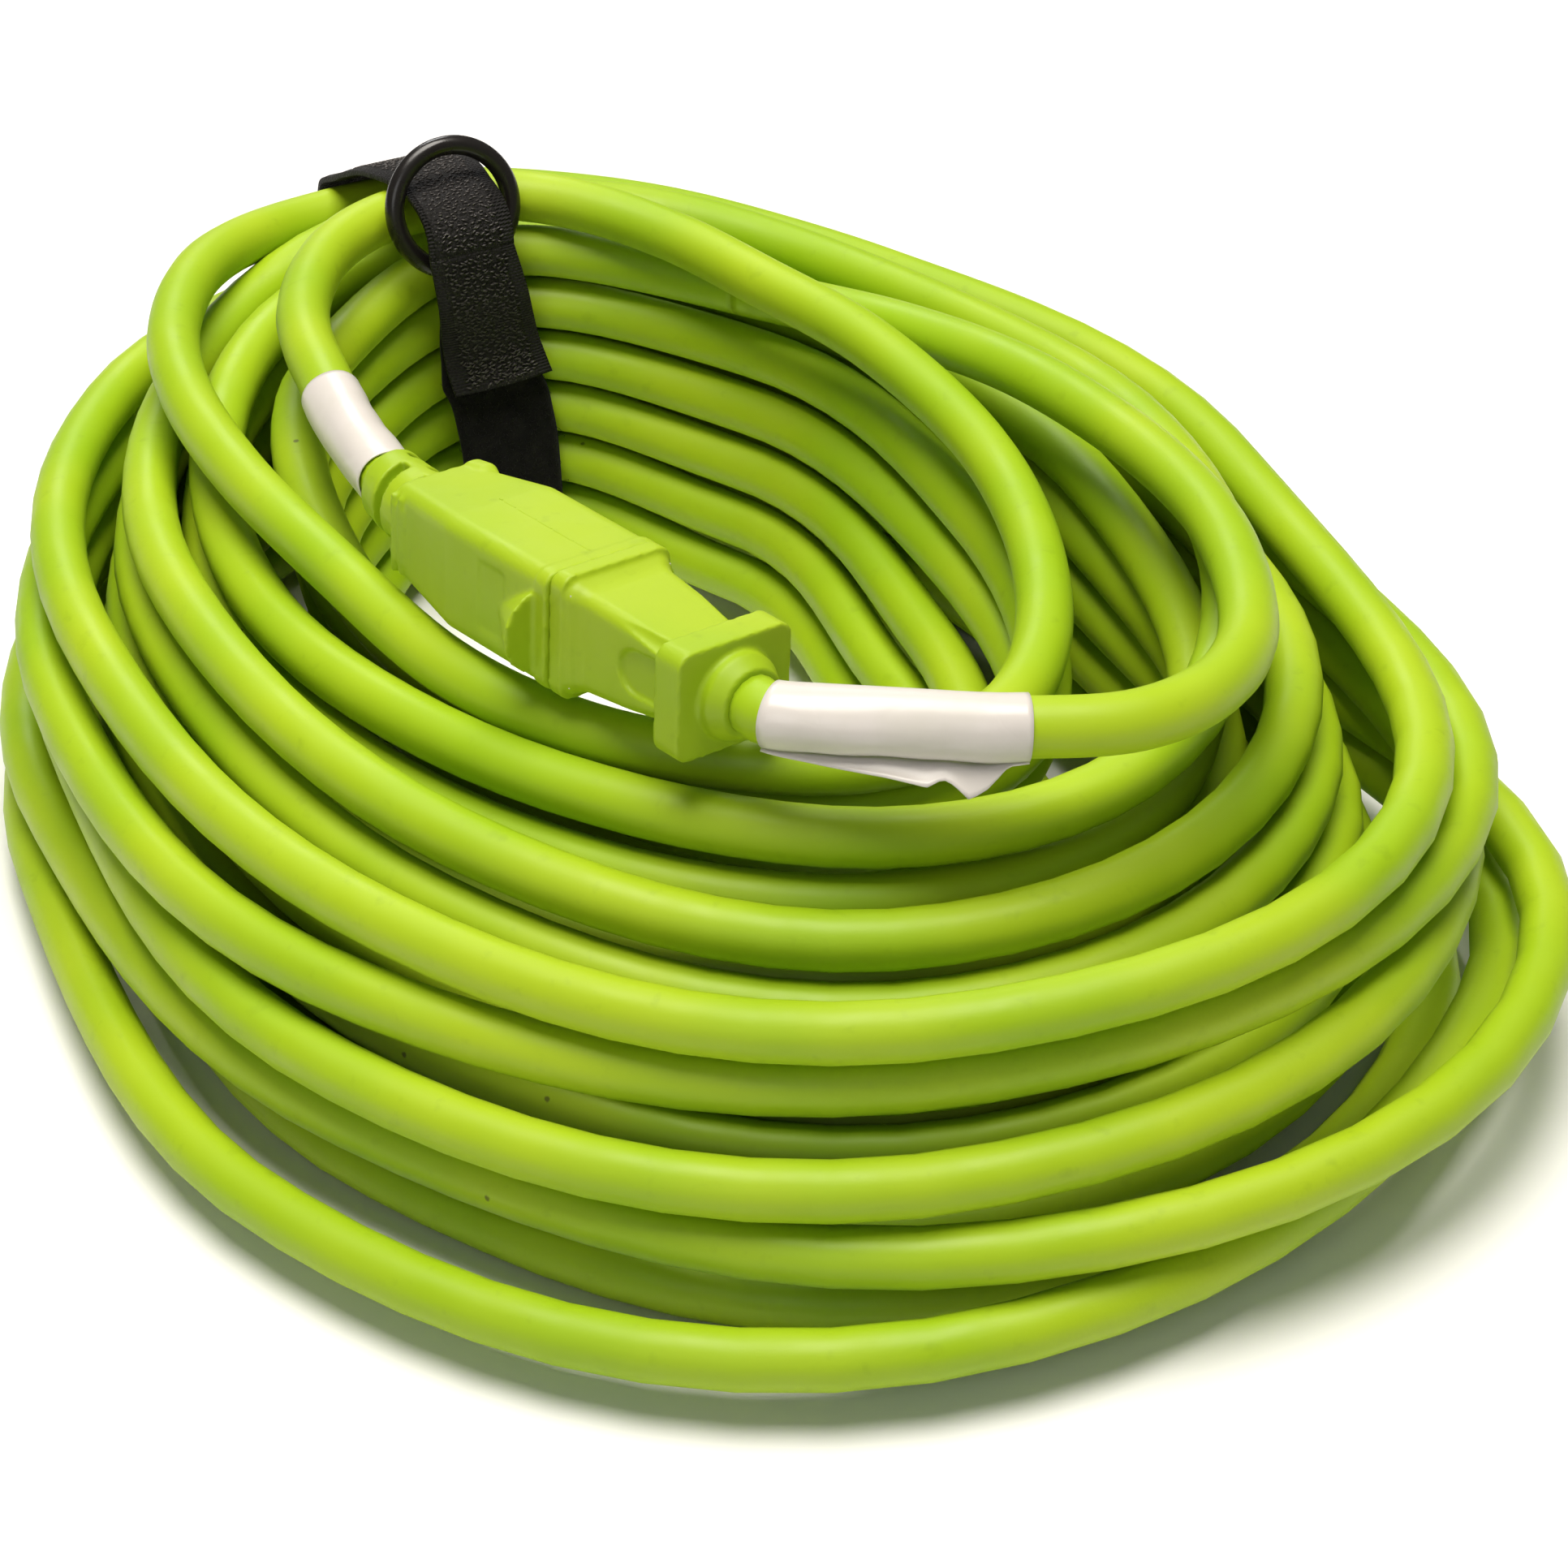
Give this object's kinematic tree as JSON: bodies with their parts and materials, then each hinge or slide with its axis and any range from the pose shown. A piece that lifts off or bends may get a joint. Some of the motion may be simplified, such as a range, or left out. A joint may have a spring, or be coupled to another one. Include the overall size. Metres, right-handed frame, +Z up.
{
  "type": "coiled extension cord",
  "caption": "Three-wire extension cord wound into an oval bundle, its plug pushed into its own connector, tied at one end by a hook-and-loop strap with a hanging ring.",
  "frame": {"origin": "middle of the outline on the floor under the bundle", "axes": "+Z up, +Y towards the strap and hanging ring, +X to the right seen from the plug's end"},
  "size_m": [0.2188, 0.2836, 0.0899],
  "materials": {
    "jacket": "satin",
    "moulded_vinyl": "satin",
    "blade_brass": "polished",
    "contact_brass": "plain",
    "bridge_plastic": "matte",
    "wire_black": "satin",
    "wire_white": "satin",
    "wire_green": "satin",
    "label_film": "matte",
    "strap_loop": "brushed loop pile",
    "strap_hook": "woven",
    "ring_black": "gloss"
  },
  "bodies": {
    "bundle": {"cord_coil": "jacket", "plug_lead": "jacket", "connector_lead": "jacket", "connector_overmould": "moulded_vinyl", "connector_contact_block": "bridge_plastic", "connector_line_contact": "contact_brass", "connector_neutral_contact": "contact_brass", "connector_ground_contact": "contact_brass", "connector_line_wire": "wire_black", "connector_neutral_wire": "wire_white", "connector_ground_wire": "wire_green", "connector_label": "label_film", "strap_loop_tape": "strap_loop", "strap_hook_tape": "strap_hook"},
    "plug": {"plug_overmould": "moulded_vinyl", "plug_bridge": "bridge_plastic", "plug_line_blade": "blade_brass", "plug_neutral_blade": "blade_brass", "plug_ground_pin": "blade_brass", "plug_line_wire": "wire_black", "plug_neutral_wire": "wire_white", "plug_ground_wire": "wire_green", "plug_label": "label_film"},
    "ring": {"hanging_ring": "ring_black"},
    "tab": {"strap_tab": "strap_hook"}
  },
  "joints": [
    {"name": "plug_pull", "type": "slide", "parent": "bundle", "child": "plug", "axis": [0.182, -0.9817, 0.0558], "range_m": [0, 0.02], "deforming": ["plug_lead"]},
    {"name": "ring_swing", "type": "hinge", "parent": "bundle", "child": "ring", "pos_m": [0.00827, 0.09328, 0.0649], "axis": [0.9985, -0.0548, 0], "range_deg": [0, 30]},
    {"name": "tab_peel", "type": "hinge", "parent": "bundle", "child": "tab", "pos_m": [0.00799, 0.08824, 0.07015], "axis": [-0.9985, 0.0548, 0], "range_deg": [0, 70]}
  ]
}
